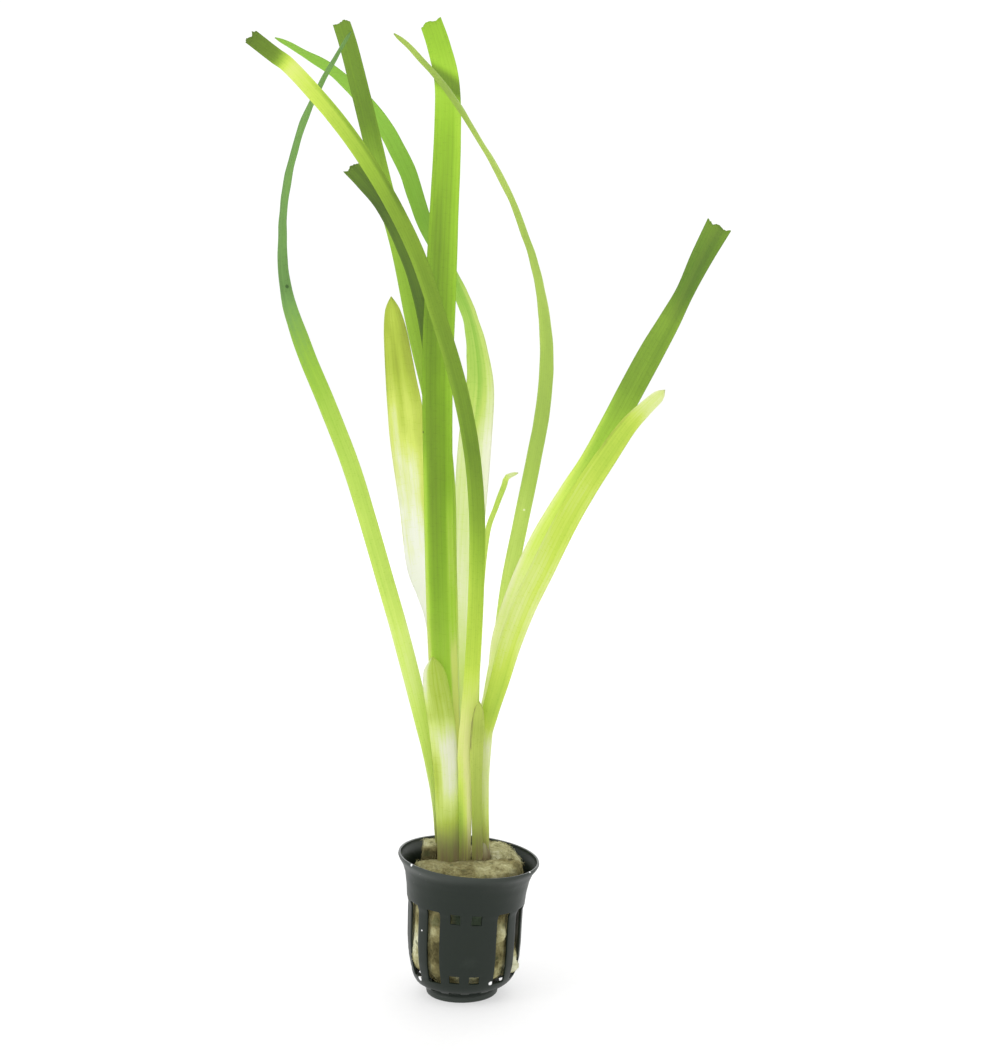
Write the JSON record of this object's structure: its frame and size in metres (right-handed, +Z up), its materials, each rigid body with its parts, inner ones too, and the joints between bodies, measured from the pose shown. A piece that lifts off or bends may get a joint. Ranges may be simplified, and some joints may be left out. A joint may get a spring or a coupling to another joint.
{
  "type": "potted vallisneria",
  "caption": "Water plant with long ribbon leaves growing from crowns set in growing wool, in a small slotted plastic net pot",
  "frame": {"origin": "the middle of the pot's foot, on the surface it stands on", "axes": "+Z up, +X to the right of the plant as seen from the front, +Y away from the front"},
  "size_m": [0.1591, 0.0681, 0.342],
  "materials": {
    "pot_plastic": "satin",
    "growing_wool": "matte",
    "crown": "satin",
    "leaf_green": "satin",
    "leaf_dark": "satin",
    "leaf_pale": "satin",
    "leaf_brown": "satin"
  },
  "bodies": {
    "root": {"net_pot": "pot_plastic", "rock_wool_front": "growing_wool", "rock_wool_back_left": "growing_wool", "rock_wool_back_right": "growing_wool", "left_crown": "crown", "right_crown": "crown", "leaf_sheath_front": "leaf_pale", "leaf_front_arching": "leaf_green", "leaf_main_upright": "leaf_green", "leaf_trimmed_left": "leaf_dark", "leaf_upright_left": "leaf_green", "leaf_back_arching": "leaf_green", "leaf_pale_short": "leaf_pale", "leaf_left_slender": "leaf_green", "leaf_brown_tip": "leaf_brown", "leaf_pale_right": "leaf_pale", "leaf_trimmed_right": "leaf_green", "leaf_right_arching": "leaf_green", "leaf_small_curled": "leaf_green"}
  },
  "joints": []
}
